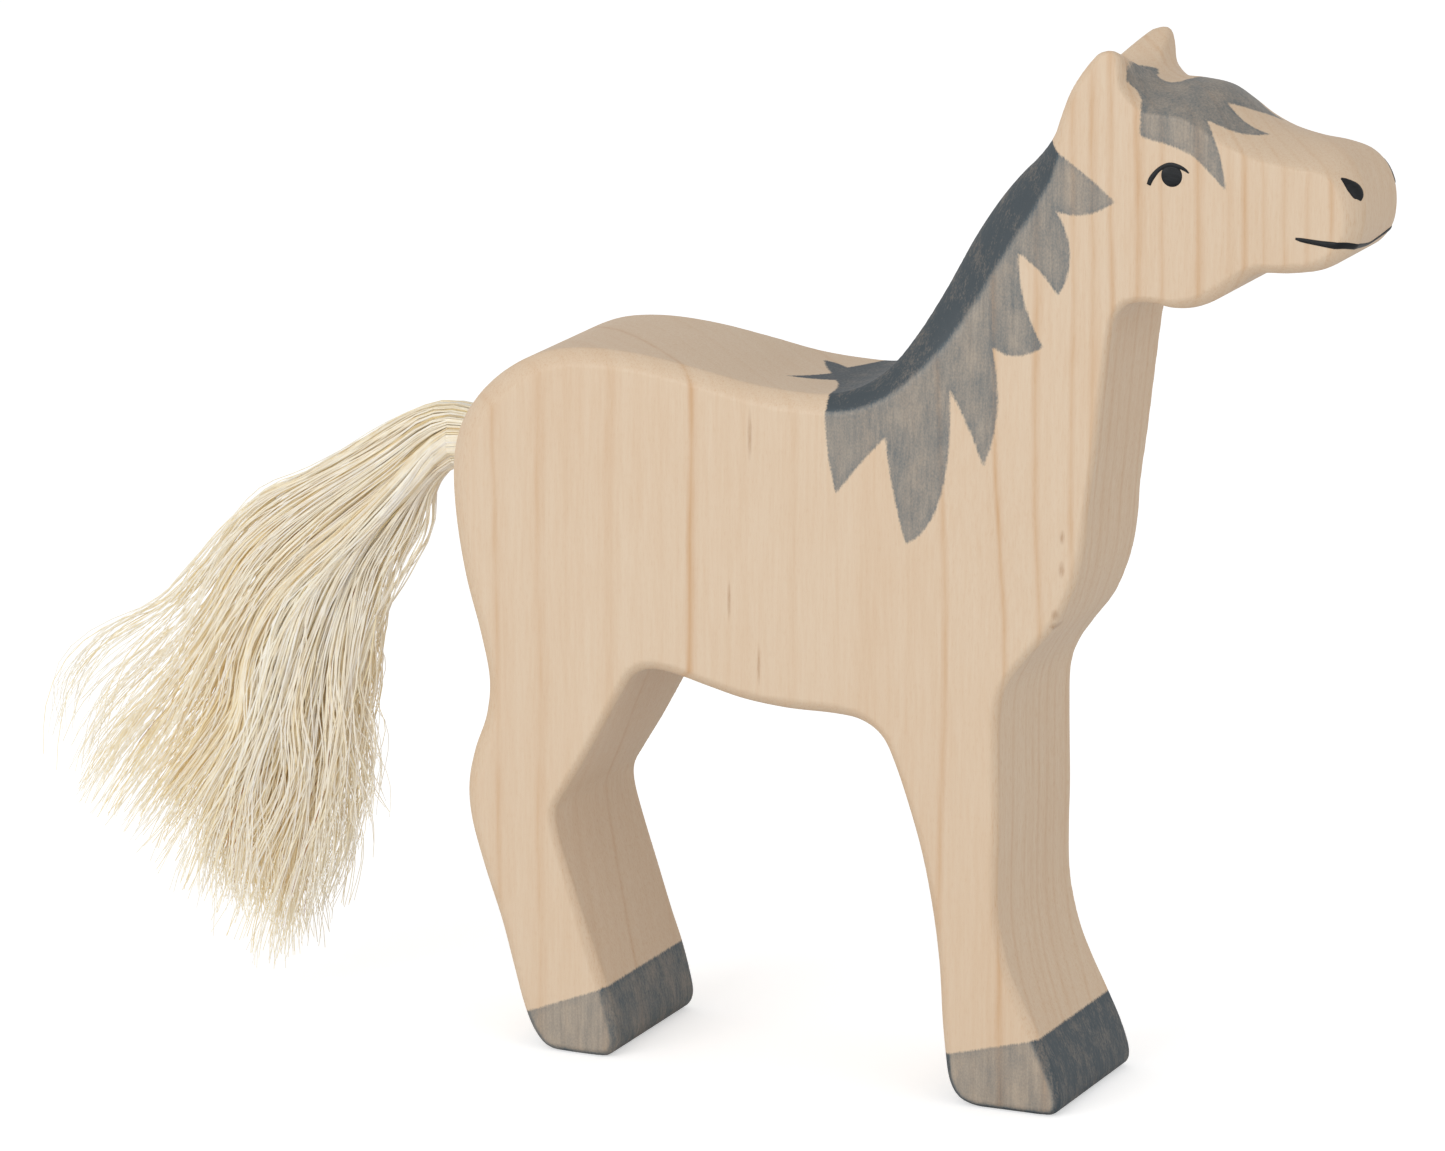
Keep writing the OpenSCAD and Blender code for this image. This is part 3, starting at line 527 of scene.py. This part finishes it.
def maple():
    material, tree, shader = material_tree("maple", 0.5)
    place = place_in_mm(tree)
    x, y, z = add(tree, "SeparateXYZ", {0: place}).outputs
    drift = stretched_noise(tree, place, (0.03, 0.03, 0.012))
    wobble = stretched_noise(tree, place, (0.2, 0.2, 0.05))
    ring = calc(tree, "ADD", x, calc(tree, "MULTIPLY", y, RING_SLANT))
    ring = calc(tree, "ADD", ring, remap(tree, drift, 0, 1, -1.6, 1.6))
    ring = calc(tree, "ADD", ring, remap(tree, wobble, 0, 1, -0.5, 0.5))
    starts = range(0, len(GROWTH_LINES), LINES_PER_RAMP)
    parts = [GROWTH_LINES[i : i + LINES_PER_RAMP] for i in starts]
    growth = growth_ramp(tree, ring, parts[0])
    for part in parts[1:]:
        growth = calc(tree, "MAXIMUM", growth, growth_ramp(tree, ring, part))
    fade = stretched_noise(tree, place, (0.3, 0.3, 0.08))
    growth = calc(tree, "MULTIPLY", growth, vary(tree, fade, 0.45, 1.0))
    pores = add(tree, "Attribute", {}, attribute_name="pores").outputs["Fac"]
    growth = calc(tree, "MULTIPLY", growth, remap(tree, pores, 0, 1, 1.0, 0.5))

    broad = stretched_noise(tree, place, (0.05, 0.05, 0.02))
    years = add(tree, "CombineXYZ", {0: ring}).outputs[0]
    bands = stretched_noise(tree, years, (0.55, 0.55, 0.55), 3.0)
    fibres = stretched_noise(tree, place, (2.6, 2.6, 0.16), 4.0)
    fine = stretched_noise(tree, place, (7.0, 7.0, 0.9), 3.0)
    warm = calc(tree, "ADD", vary(tree, broad, 0, 0.35), remap(tree, bands, 0.35, 0.7, 0, 0.35))
    warm = calc(tree, "ADD", warm, remap(tree, fibres, 0.35, 0.7, -0.08, 0.3))
    colour = blend_colour(tree, calc(tree, "ADD", warm, 0.0, clamp=True), MAPLE, MAPLE_WARM)
    colour = blend_colour(tree, calc(tree, "MULTIPLY", growth, 0.95), colour, GROWTH_TINT, "MULTIPLY")
    speck = remap(tree, fine, 0.52, 0.72, 0, 1)
    speck = calc(tree, "MULTIPLY", speck, remap(tree, pores, 0, 1, 0.16, 0.42))
    colour = blend_colour(tree, speck, colour, GROWTH_TINT, "MULTIPLY")
    mark = 0.0
    for mx, my, mz, wide, high in MARKS:
        size = (1 / wide, 0.4, 1 / high)
        away = add(tree, "VectorMath", {0: place, 1: (mx, my, mz)}, operation="SUBTRACT").outputs[0]
        away = add(tree, "VectorMath", {0: away, 1: size}, operation="MULTIPLY").outputs[0]
        away = add(tree, "VectorMath", {0: away}, operation="LENGTH").outputs["Value"]
        spot = remap(tree, away, 1.5, 0.4, 0, 0.45)
        mark = spot if mark == 0.0 else calc(tree, "MAXIMUM", mark, spot)
    mark = calc(tree, "MULTIPLY", mark, remap(tree, fine, 0.3, 0.6, 0.5, 1))
    colour = blend_colour(tree, mark, colour, MARK_TINT, "MULTIPLY")

    stain = add(tree, "Attribute", {}, attribute_name="stain").outputs["Fac"]
    dye = add(tree, "Attribute", {}, attribute_name="dye").outputs["Fac"]
    wax = stretched_noise(tree, place, (4.5, 4.5, 3.0), 3.0)
    fuzz = calc(tree, "ADD", vary(tree, fibres, -0.07, 0.07), vary(tree, wax, -0.1, 0.1))
    cover = remap(tree, calc(tree, "ADD", stain, fuzz), -0.2, 0.24)
    cover = add(tree, "MapRange", {"Value": cover}, interpolation_type="SMOOTHSTEP").outputs[0]
    cloud = stretched_noise(tree, place, (0.35, 0.35, 0.2), 3.0)
    soak = calc(tree, "ADD", dye, vary(tree, fibres, -0.06, 0.06))
    soak = calc(tree, "ADD", soak, vary(tree, wax, -0.08, 0.08))
    soak = calc(tree, "ADD", soak, vary(tree, cloud, -0.09, 0.09))
    rim = remap(tree, stain, 0.0, 1.2, 0.07, 0.0)
    soak = calc(tree, "MULTIPLY", calc(tree, "ADD", soak, rim), cover)
    tone = blend_colour(tree, remap(tree, dye, 0.8, 1.0), STAIN_THIN, STAIN_DEEP)
    colour = blend_colour(tree, calc(tree, "ADD", soak, 0.0, clamp=True), colour, tone)
    tree.links.new(colour, shader.inputs["Base Color"])
    tree.links.new(vary(tree, fibres, 0.44, 0.58), shader.inputs["Roughness"])
    relief = calc(tree, "ADD", fibres, calc(tree, "MULTIPLY", fine, 0.5))
    add_relief(tree, shader, relief, 0.22, 0.05)
    shader.inputs["Specular IOR Level"].default_value = 0.42
    return material


def black_paint():
    material, tree, shader = material_tree("black_paint", 0.42)
    place = place_in_mm(tree)
    strokes = stretched_noise(tree, place, (1.2, 1.2, 4.0), 3.0)
    colour = blend_colour(tree, remap(tree, strokes, 0.3, 0.8), BLACK, BLACK_THIN)
    tree.links.new(colour, shader.inputs["Base Color"])
    add_relief(tree, shader, strokes, 0.4, 0.04)
    shader.inputs["Specular IOR Level"].default_value = 0.25
    return material


def fibre():
    material, tree, shader = material_tree("fibre", 0.4)
    place = place_in_mm(tree)
    tint = add(tree, "Attribute", {}, attribute_name="tint").outputs["Color"]
    mottle = stretched_noise(tree, place, (0.5, 0.5, 0.5), 3.0)
    shade = blend_colour(tree, vary(tree, mottle), FIBRE_SHADE, (1, 1, 1, 1))
    colour = blend_colour(tree, 1.0, tint, shade, "MULTIPLY")
    tree.links.new(colour, shader.inputs["Base Color"])
    return material


def plain_hidden(name, dark, light, roughness, per_mm):
    """A material for a piece inside the bore: two close colours, mottled, with a little relief."""
    material, tree, shader = material_tree(name, roughness)
    place = place_in_mm(tree)
    mottle = stretched_noise(tree, place, per_mm, 3.0)
    colour = blend_colour(tree, vary(tree, mottle), dark, light)
    tree.links.new(colour, shader.inputs["Base Color"])
    add_relief(tree, shader, mottle, 0.5, 0.1)
    return material


# ---------------------------------------------------------------- the wooden horse
HOOF_Z, FORE_HOOF_X, FORELOCK_X = 20.0, 20.0, 58.0
# How deep the stain's colour is, on a closed side face and on an open wall
MANE_DYE = (0.70, 1.0)
FORELOCK_DYE = (0.62, 0.74)
FORE_HOOF_DYE = (0.57, 0.97)
HIND_HOOF_DYE = (0.57, 0.88)


def make_body():
    points, quads = surface_net()
    points, normals = press(points, 2)
    points[:, 2] = np.maximum(points[:, 2], 0)
    body = mesh_object("wooden_horse", points, quads, maple())
    body.data.normals_split_custom_set_from_vertices(normals)
    stain, pores = stain_depth(points), open_wood(points)
    x, z = points[:, 0], points[:, 2]
    zones = [(z < HOOF_Z) & (x > FORE_HOOF_X), z < HOOF_Z, (z > HEAD_Z) & (x > FORELOCK_X)]
    dyes = [FORE_HOOF_DYE, HIND_HOOF_DYE, FORELOCK_DYE]
    face_dye, wall_dye = (np.select(zones, [dye[i] for dye in dyes], MANE_DYE[i]) for i in (0, 1))
    set_attribute(body, "stain", stain)
    set_attribute(body, "pores", pores)
    set_attribute(body, "dye", face_dye + (wall_dye - face_dye) * pores)
    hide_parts("body")
    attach(body, "horse")


# ---------------------------------------------------------------- the painted face
PAINT_T = 0.11
PAINT_SUNK = 0.05
# A mark with a smaller half width than this is thinner too
FULL_PAINT_HALF = 0.35
NARROWEST = 0.02
# Places across a mark, from one edge to the other
SECTION = np.linspace(-1, 1, 9)


def stroke(path, half_widths, steps=5):
    """Points and faces of one brush mark, pressed onto the wood. path holds (x, y, z) points near it."""
    dense = spline_through([(*place, half) for place, half in zip(path, half_widths)], steps)
    spine, normal = press(dense[:, :3])
    along = np.gradient(spine, axis=0)
    across = np.cross(normal, along)
    across /= np.maximum(np.linalg.norm(across, axis=1), 1e-9)[:, None]
    half = np.maximum(dense[:, 3], NARROWEST)
    flat = spine[:, None] + across[:, None] * half[:, None, None] * SECTION[None, :, None]
    base, normals = press(flat.reshape(-1, 3))
    crown = np.tile(np.sqrt(1 - 0.96 * SECTION**2), len(dense))
    crown *= np.repeat(np.minimum(1, half / FULL_PAINT_HALF), len(SECTION))
    top = base + normals * (PAINT_T * crown)[:, None]
    under = base - normals * PAINT_SUNK
    n, m = len(dense), len(SECTION)
    ring = np.concatenate([top.reshape(n, m, 3), under.reshape(n, m, 3)[:, ::-1]], 1)
    count = 2 * m
    faces = []
    for first in range(0, (n - 1) * count, count):
        for j in range(count):
            after = (j + 1) % count
            faces.append((first + j, first + after, first + count + after, first + count + j))
    for first in (0, (n - 1) * count):
        for j in range(m - 1):
            end = (first + j, first + j + 1, first + count - 2 - j, first + count - 1 - j)
            faces.append(end if first else end[::-1])
    return ring.reshape(-1, 3), np.array(faces)


def paint(name, marks, node):
    points, faces, count = [], [], 0
    for mark_points, mark_faces in marks:
        points.append(mark_points)
        faces.append(mark_faces + count)
        count += len(mark_points)
    piece = mesh_object(name, np.concatenate(points), np.concatenate(faces), paint_finish)
    mesh = piece.data
    bm = bmesh.new()
    bm.from_mesh(mesh)
    bmesh.ops.recalc_face_normals(bm, faces=bm.faces)
    bm.to_mesh(mesh)
    bm.free()
    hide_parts(node)
    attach(piece, "horse")


def round_mark(x, y, z, radius, lean):
    """A round dab of paint: rows across a circle, drawn out a little by lean."""
    turn = np.linspace(-math.pi / 2, math.pi / 2, 9)
    path = [(x + radius * math.sin(a), y, z + lean * math.sin(a)) for a in turn]
    return path, radius * np.cos(turn) + NARROWEST


# The pupil is at (x, z), and the lash's points are measured from it. All widths are half widths.
PUPIL = (73.75, 133.2)
PUPIL_RADIUS = 1.5
LASH = [(-3.3, -1.5), (-2.85, -0.5), (-1.8, 0.75), (-0.4, 1.45), (0.9, 1.35), (1.9, 0.95), (2.45, 0.55)]
LASH_WIDTHS = [0.3, 0.36, 0.3, 0.33, 0.3, 0.22, 0.1]
NOSTRIL = [
    (97.5, 8.5, 134.9), (98.0, 8.2, 134.4), (98.7, 7.8, 133.6), (99.3, 7.3, 132.8), (99.6, 7.0, 132.0),
    (99.7, 6.9, 131.3),
]
NOSTRIL_WIDTHS = [0.14, 0.5, 0.92, 1.1, 0.9, 0.12]
MOUTH_SIDE = [(91.2, 9.6, 125.9), (92.2, 9.5, 125.75), (94.6, 9.4, 125.5), (96.6, 9.2, 125.35)]
MOUTH_FRONT = [(98.0, 8.4, 125.25), (98.7, 6.2, 124.9), (98.5, 3.0, 124.35)]
MOUTH_SIDE_WIDTHS = [0.16, 0.3, 0.38, 0.48]
MOUTH_FRONT_WIDTHS = [0.5, 0.44, 0.38]
MOUTH_MIDDLE, MOUTH_MIDDLE_WIDTH = (98.3, 0, 124.0), 0.34


def make_face():
    for side, word in ((-1, "right"), (1, "left")):
        x, z = PUPIL
        pupil = stroke(*round_mark(x, side * HALF_NECK, z, PUPIL_RADIUS, -0.1))
        lash = stroke([(x + a, side * HALF_NECK, z + b) for a, b in LASH], LASH_WIDTHS)
        paint("painted_eye_" + word, [pupil, lash], "eye_" + word)
        nostril = stroke([(a, side * b, c) for a, b, c in NOSTRIL], NOSTRIL_WIDTHS)
        paint("painted_nostril_" + word, [nostril], "nostril_" + word)
    near = [(a, -b, c) for a, b, c in MOUTH_SIDE + MOUTH_FRONT]
    far = [(a, b, c) for a, b, c in MOUTH_SIDE + MOUTH_FRONT][::-1]
    widths = MOUTH_SIDE_WIDTHS + MOUTH_FRONT_WIDTHS
    mouth = stroke(near + [MOUTH_MIDDLE] + far, widths + [MOUTH_MIDDLE_WIDTH] + widths[::-1])
    paint("painted_mouth", [mouth], "mouth_line")


# ---------------------------------------------------------------- the tail
STRANDS = 1900
# Guide curves of the hank in the middle plane, (x, z) in mm, from the highest lock to the lowest.
# All start at SPLIT_X, between the tail's two bends. The strands run between them.
SPLIT_X = -37.9
GUIDES = [
    [(-42, 89), (-48.5, 86), (-55, 81.5), (-62, 77), (-69, 73.5), (-74.5, 68.5), (-80, 61.5),
     (-84, 57), (-90, 53), (-96.5, 48.5), (-101, 43), (-102.5, 38.5), (-103, 33.5)],
    [(-43, 87), (-49, 82.5), (-62, 74.5), (-72, 66), (-78, 55), (-84.5, 46), (-92, 37), (-97, 28)],
    [(-42, 85.5), (-47.5, 81), (-58.5, 72), (-67.5, 63), (-73, 54), (-77.5, 45), (-84, 35), (-91.5, 25)],
    [(-42, 83.5), (-46.5, 79), (-55.5, 70.5), (-65, 61), (-70, 51), (-73, 42.5), (-78.5, 33.5), (-86, 23)],
    [(-42, 82), (-46, 77.5), (-54, 69), (-62, 61), (-67, 50.5), (-69, 42), (-73, 32.5), (-77, 24.5),
     (-79.5, 17)],
    [(-41.5, 81.5), (-45, 76.5), (-52.5, 68), (-59.5, 59.5), (-64, 50.5), (-66, 41.5), (-69.5, 31),
     (-73, 20.5), (-75, 11)],
    [(-41, 80.5), (-44.5, 76), (-51, 69), (-57, 61.5), (-60.5, 52), (-62.5, 41.5), (-65, 30),
     (-68, 18), (-69.5, 9)],
    [(-40.5, 80.5), (-43, 77.5), (-48, 72.5), (-53, 65), (-57, 55), (-58, 45), (-59.5, 34),
     (-62.5, 22), (-64.5, 7)],
    [(-41, 79), (-43.5, 76), (-49, 69), (-53, 62.5), (-54.5, 52.5), (-54, 44), (-56, 32.5), (-59, 21),
     (-60.5, 11)],
    [(-40, 79), (-42, 76), (-43, 69.5), (-49, 60), (-52, 52.5), (-53, 43), (-51.5, 28)],
]
ROOT_X = (-30, -34)
ROOT_REACH = 4.0
ROOT_RINGS = 4
FREE_RINGS = 28
STRAND_SIDES = 3
LOCKS = 64
# The guide round which most strands lie, and how far they spread from it
THICKEST, THICK_SPREAD = 4.6, 3.0
GOLDEN_RATIO = 0.618
ROOT_HALF_WIDTH = 4.2
END_HALF_WIDTH = 8.4
END_REACH = 13.5
FLOOR_GAP = 1.0
# Shares of the strands that leave on their own, wander, end early and are rust brown
LOOSE_SHARE, WILD_SHARE, SHORT_SHARE, RUST_SHARE = 0.02, 0.14, 0.1, 0.003
# How much more than the others a wandering strand strays
WILD_MESS = (2.0, 4.5)
STRAND_RADIUS = (0.08, 0.14)
# Sizes of the waves: of whole locks, of the fine crimp, of single strands, and both across the hank
SLOW_WAVE, FINE_WAVE, STRAY_WAVE, ACROSS_WAVE, ACROSS_STRAY = 1.6, 0.24, 0.3, 0.6, 0.25
CREAM = np.array((0.99, 0.94, 0.80))
WHITE = np.array((0.99, 0.98, 0.95))
GOLD = np.array((0.99, 0.86, 0.54))
RUST = np.array((0.40, 0.14, 0.03))


def smooth_curve(points, count):
    """count points spaced evenly along a smooth curve through the given (x, z) points."""
    dense = spline_through(points, 12)
    run = np.concatenate([[0], np.cumsum(np.linalg.norm(np.diff(dense, axis=0), axis=1))])
    at = np.linspace(0, run[-1], count)
    return np.stack([np.interp(at, run, dense[:, 0]), np.interp(at, run, dense[:, 1])], 1)


def make_guides():
    """(guides, rings, 2): each guide from inside the bore to its tip, with ring ROOT_RINGS at SPLIT_X."""
    rows = []
    for i, guide in enumerate(GUIDES):
        height = BORE_Z + ROOT_REACH * (1 - 2 * i / (len(GUIDES) - 1))
        start = [(x, height) for x in ROOT_X] + [(SPLIT_X, height + 0.5 - 0.12 * i)]
        curve = smooth_curve(start + guide, 800)
        cut = np.argmax(curve[:, 0] <= SPLIT_X)
        root = np.linspace(0, cut, ROOT_RINGS + 1)[:-1]
        free = np.linspace(cut, len(curve) - 1, FREE_RINGS)
        rows.append(curve[np.concatenate([root, free]).round().astype(int)])
    return np.array(rows)


def waves(share, phase, amount, count):
    """Sideways waves along the strands: count of them from end to end."""
    return amount * np.sin(2 * math.pi * (share * count + phase))


def strand_paths():
    """Centre lines (strands, rings, 3) in mm, each strand's lock, and how deep in the hank it lies."""
    guides = make_guides()
    last = len(GUIDES) - 1
    roots = ROOT_RINGS
    share = np.clip((np.arange(guides.shape[1]) - roots) / (FREE_RINGS - 1), 0, 1)[None, :]
    step = np.arange(LOCKS)
    lock_place = 0.15 + (last - 0.7) * ((step + rng.uniform(0, 1, LOCKS)) / LOCKS)
    lock_side = 1.9 * ((step * GOLDEN_RATIO) % 1) - 0.95
    weight = 0.16 + np.exp(-(((lock_place - THICKEST) / THICK_SPREAD) ** 2))
    lock = rng.choice(LOCKS, STRANDS, p=weight / weight.sum())
    spread = rng.normal(0, 1, (2, STRANDS))
    place = np.clip(lock_place[lock] + 0.4 * spread[0], 0, last - 0.35)
    side = np.clip(lock_side[lock] + 0.22 * spread[1], -1.05, 1.05)
    loose = rng.uniform(0, 1, STRANDS) < LOOSE_SHARE
    place = np.where(loose, rng.uniform(last - 0.6, last, STRANDS), place)
    wild = rng.uniform(0, 1, STRANDS) < WILD_SHARE
    mess = np.where(wild, rng.uniform(*WILD_MESS, STRANDS), 1)[:, None]

    gather = 0.5 * np.sin(math.pi * share**0.8)
    gather = np.where(wild | loose, 0, 1)[:, None] * gather
    place = place[:, None] * (1 - gather) + lock_place[lock][:, None] * gather
    side = side[:, None] * (1 - gather) + lock_side[lock][:, None] * gather
    grow = share**0.7
    drift = rng.normal(0, 1, (4, STRANDS, 1))
    crossing = rng.normal(0, 1, LOCKS)[lock][:, None]
    place = place + 0.45 * crossing * share * (1.6 - share) + 0.14 * grow * drift[0] * mess
    place = place + 0.25 * share**2 * drift[2]
    side = side + 0.10 * grow * drift[1] * mess + 0.12 * share**2 * drift[3]
    place = np.clip(place, -0.05, last)

    tip = 1.05 - np.abs(rng.normal(0, 0.035, STRANDS)) - 0.12 * rng.uniform(0, 1, LOCKS)[lock]
    tip = np.where(rng.uniform(0, 1, STRANDS) < SHORT_SHARE, tip - rng.uniform(0, 0.3, STRANDS), tip)
    ring = roots + share * (FREE_RINGS - 1) * tip[:, None]
    ring = np.where(np.arange(guides.shape[1]) < roots, np.arange(guides.shape[1]), ring)
    low, row = np.floor(place).astype(int), np.floor(ring).astype(int)
    low, row = np.clip(low, 0, last - 1), np.clip(row, 0, guides.shape[1] - 2)
    across, along = (place - low)[..., None], (ring - row)[..., None]
    here = guides[low, row] * (1 - along) + guides[low, row + 1] * along
    there = guides[low + 1, row] * (1 - along) + guides[low + 1, row + 1] * along
    middle = here + (there - here) * across
    deep = 1 - (2 * place / last - 1) ** 2
    width = ROOT_HALF_WIDTH + (END_HALF_WIDTH - ROOT_HALF_WIDTH) * smooth_step(share * 1.25)
    y = side * width * np.sqrt(0.06 + 0.94 * np.clip(deep, 0, 1))

    lock_phase = rng.uniform(0, 1, (3, LOCKS))
    own = rng.uniform(0, 1, (3, STRANDS, 1))
    bends = (1.5 + 1.3 * rng.uniform(0, 1, LOCKS))[lock][:, None]
    slow = waves(share, lock_phase[0][lock][:, None] + 0.1 * own[0], SLOW_WAVE, bends) * grow
    fine = waves(share, lock_phase[1][lock][:, None] + 0.3 * own[1], FINE_WAVE, 3.8) * grow
    stray = waves(share, own[2], STRAY_WAVE, 1.0 + 1.6 * own[0]) * grow * mess
    x = middle[..., 0] + slow + fine + stray
    z = middle[..., 1] + 0.6 * (slow + fine) - 0.7 * stray
    y = y + waves(share, lock_phase[2][lock][:, None] + 0.2 * own[2], ACROSS_WAVE, 3.7) * grow
    y = y + waves(share, own[1], ACROSS_STRAY, 2.0 + 2.0 * own[2]) * grow * mess
    depth = np.clip(deep[:, -1], 0, 1) * (1 - np.abs(side[:, -1]))
    y = np.clip(y, -END_REACH, END_REACH)
    return np.stack([x, y, np.maximum(z, FLOOR_GAP)], -1), lock, depth


def strand_mesh(name, paths, radius, tint, finish):
    """Thin tubes along the paths, all in one mesh."""
    strands, rings, _ = paths.shape
    along = np.gradient(paths, axis=1)
    side = np.cross(along, (0, 1, 0))
    side /= np.maximum(np.linalg.norm(side, axis=2), 1e-9)[..., None]
    up = np.cross(along, side)
    up /= np.maximum(np.linalg.norm(up, axis=2), 1e-9)[..., None]
    turns = 2 * math.pi * np.arange(STRAND_SIDES) / STRAND_SIDES
    ring = side[:, :, None] * np.cos(turns)[:, None] + up[:, :, None] * np.sin(turns)[:, None]
    points = (paths[:, :, None] + ring * radius[:, :, None, None]).reshape(-1, 3)
    rows = np.arange(strands)[:, None] * rings + np.arange(rings - 1)[None, :]
    first = rows.reshape(-1, 1) * STRAND_SIDES
    corner = first + np.arange(STRAND_SIDES)[None, :]
    after = first + (np.arange(STRAND_SIDES)[None, :] + 1) % STRAND_SIDES
    faces = np.stack([corner, after, after + STRAND_SIDES, corner + STRAND_SIDES], -1).reshape(-1, 4)
    piece = mesh_object(name, points, faces, finish)
    piece.data.polygons.foreach_set("use_smooth", np.zeros(len(faces), bool))
    colour = np.ones((strands, rings, STRAND_SIDES, 4), np.float32)
    colour[..., :3] = tint[:, None, None, :]
    attribute = piece.data.attributes.new("tint", "FLOAT_COLOR", "POINT")
    attribute.data.foreach_set("color", colour.ravel())
    return piece


def make_tail():
    paths, lock, depth = strand_paths()
    gold_lock = rng.uniform(0, 1, LOCKS)[lock]
    # Gold tint: partly real gold fibre in some locks, chosen at random, and partly painted shade, darker
    # gold the deeper a strand lies inside the hank.
    gold_and_core_shade = np.clip(0.7 * depth + 0.9 * gold_lock - 0.42 + rng.normal(0, 0.16, STRANDS), 0, 1)[:, None]
    pale = rng.uniform(0, 1, STRANDS)[:, None]
    tint = (CREAM * (1 - pale) + WHITE * pale) * (1 - gold_and_core_shade) + GOLD * gold_and_core_shade
    tint = tint * rng.uniform(0.96, 1.03, (STRANDS, 1))
    tint = np.where(rng.uniform(0, 1, (STRANDS, 1)) < RUST_SHARE, RUST, np.minimum(tint, 1))
    radius = rng.uniform(*STRAND_RADIUS, (STRANDS, 1)) * np.ones(paths.shape[:2])
    radius *= 1 - 0.55 * np.linspace(0, 1, radius.shape[1]) ** 3
    split = ROOT_RINGS
    finish = fibre()
    neck = strand_mesh("tail_neck_strands", paths[:, : split + 1], radius[:, : split + 1], tint, finish)
    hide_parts("tail_root")
    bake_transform(neck)
    free = strand_mesh("tail_strands", paths[:, split:], radius[:, split:], tint, finish)
    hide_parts("tail_tuft")
    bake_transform(free)


# ---------------------------------------------------------------- the hidden pieces in the bore
# Each CAD node with its material's name, dark and light colour, roughness and noise for each mm
HIDDEN = {
    "tail_bundle": ("bound_fibre", (0.62, 0.5, 0.28, 1), (0.85, 0.76, 0.55, 1), 0.5, (0.3, 4, 4)),
    "root_whipping": ("thread", (0.6, 0.57, 0.48, 1), (0.85, 0.82, 0.72, 1), 0.6, (5, 2, 2)),
    "glue_plug": ("glue", (0.42, 0.25, 0.08, 1), (0.6, 0.4, 0.16, 1), 0.25, (0.8, 0.8, 0.8)),
}


def finish_hidden():
    for node, look in HIDDEN.items():
        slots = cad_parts[node].data.materials
        slots.clear()
        slots.append(plain_hidden(*look))


# ---------------------------------------------------------------- floor, light and camera
CAMERA_AZIMUTH, CAMERA_ELEVATION = math.radians(24.2), math.radians(14.0)
CAMERA_LOOKS_AT = Vector((0.003, 0, 0.06835))
CAMERA_DISTANCE = 1.2
CAMERA_LENS = 213.1
SKY_STRENGTH = 0.68
FLOOR_LIFT = 0.48
FLOOR_REACH = 40000
# Each light: name, azimuth and elevation in degrees, and power in watts
LIGHTS = [("key", -22, 17, 5.8), ("side_fill", 75, 12, 1.8)]
LIGHT_DISTANCE, LIGHT_SIZE = 1.2, 0.9


def direction(azimuth, elevation):
    """Unit vector from the object towards a viewer at that azimuth and elevation, in radians."""
    flat = math.cos(elevation)
    return Vector((math.sin(azimuth) * flat, -math.cos(azimuth) * flat, math.sin(elevation)))


def make_camera():
    data = bpy.data.cameras.new("camera")
    data.lens = CAMERA_LENS
    data.sensor_width = 36
    data.sensor_fit = "HORIZONTAL"
    camera = bpy.data.objects.new("camera", data)
    back = direction(CAMERA_AZIMUTH, CAMERA_ELEVATION)
    camera.location = CAMERA_LOOKS_AT + back * CAMERA_DISTANCE
    camera.rotation_euler = (-back).to_track_quat("-Z", "Y").to_euler()
    bpy.context.scene.collection.objects.link(camera)
    bpy.context.scene.camera = camera


def make_light(name, azimuth, elevation, power):
    data = bpy.data.lights.new(name, "AREA")
    data.shape = "DISK"
    data.size = LIGHT_SIZE
    data.energy = power
    light = bpy.data.objects.new(name, data)
    towards = direction(math.radians(azimuth), math.radians(elevation))
    light.location = CAMERA_LOOKS_AT + towards * LIGHT_DISTANCE
    light.rotation_euler = (-towards).to_track_quat("-Z", "Y").to_euler()
    bpy.context.scene.collection.objects.link(light)


def seen_brighter(tree, plain, seen):
    """Shader that the camera sees as one shader while the object is lit by the other."""
    camera_ray = add(tree, "LightPath", {}).outputs["Is Camera Ray"]
    return add(tree, "MixShader", {0: camera_ray, 1: plain, 2: seen}).outputs[0]


def make_stage():
    scene = bpy.context.scene
    scene.view_settings.view_transform = "Standard"
    # Light that works its way out of the pale hank is scattered many times
    scene.cycles.max_bounces = 16
    scene.cycles.diffuse_bounces = 12
    world = bpy.data.worlds.new("studio")
    world.use_nodes = True
    tree = world.node_tree
    dim = add(tree, "Background", {"Color": (1, 1, 1, 1), "Strength": SKY_STRENGTH}).outputs[0]
    white = add(tree, "Background", {"Color": (1, 1, 1, 1), "Strength": 1.0}).outputs[0]
    tree.links.new(seen_brighter(tree, dim, white), tree.nodes["World Output"].inputs["Surface"])
    scene.world = world
    for light in LIGHTS:
        make_light(*light)
    material, tree, shader = material_tree("paper_floor", 0.9)
    place = add(tree, "TexCoord", {}).outputs["Object"]
    tooth = add(tree, "TexNoise", {"Vector": place, "Scale": 900.0})
    colour = blend_colour(tree, tooth.outputs[0], (0.78, 0.78, 0.78, 1), (0.82, 0.82, 0.82, 1))
    tree.links.new(colour, shader.inputs["Base Color"])
    lit = add(tree, "Emission", {"Color": (1, 1, 1, 1), "Strength": FLOOR_LIFT}).outputs[0]
    seen = add(tree, "AddShader", {0: shader.outputs[0], 1: lit}).outputs[0]
    output = tree.nodes["Material Output"].inputs["Surface"]
    tree.links.new(seen_brighter(tree, shader.outputs[0], seen), output)
    corners = [(-1, -1, 0), (1, -1, 0), (1, 1, 0), (-1, 1, 0)]
    floor = mesh_object("floor", np.array(corners) * FLOOR_REACH, [(0, 1, 2, 3)], material)


paint_finish = black_paint()
make_camera()
make_stage()
make_body()
make_face()
make_tail()
finish_hidden()
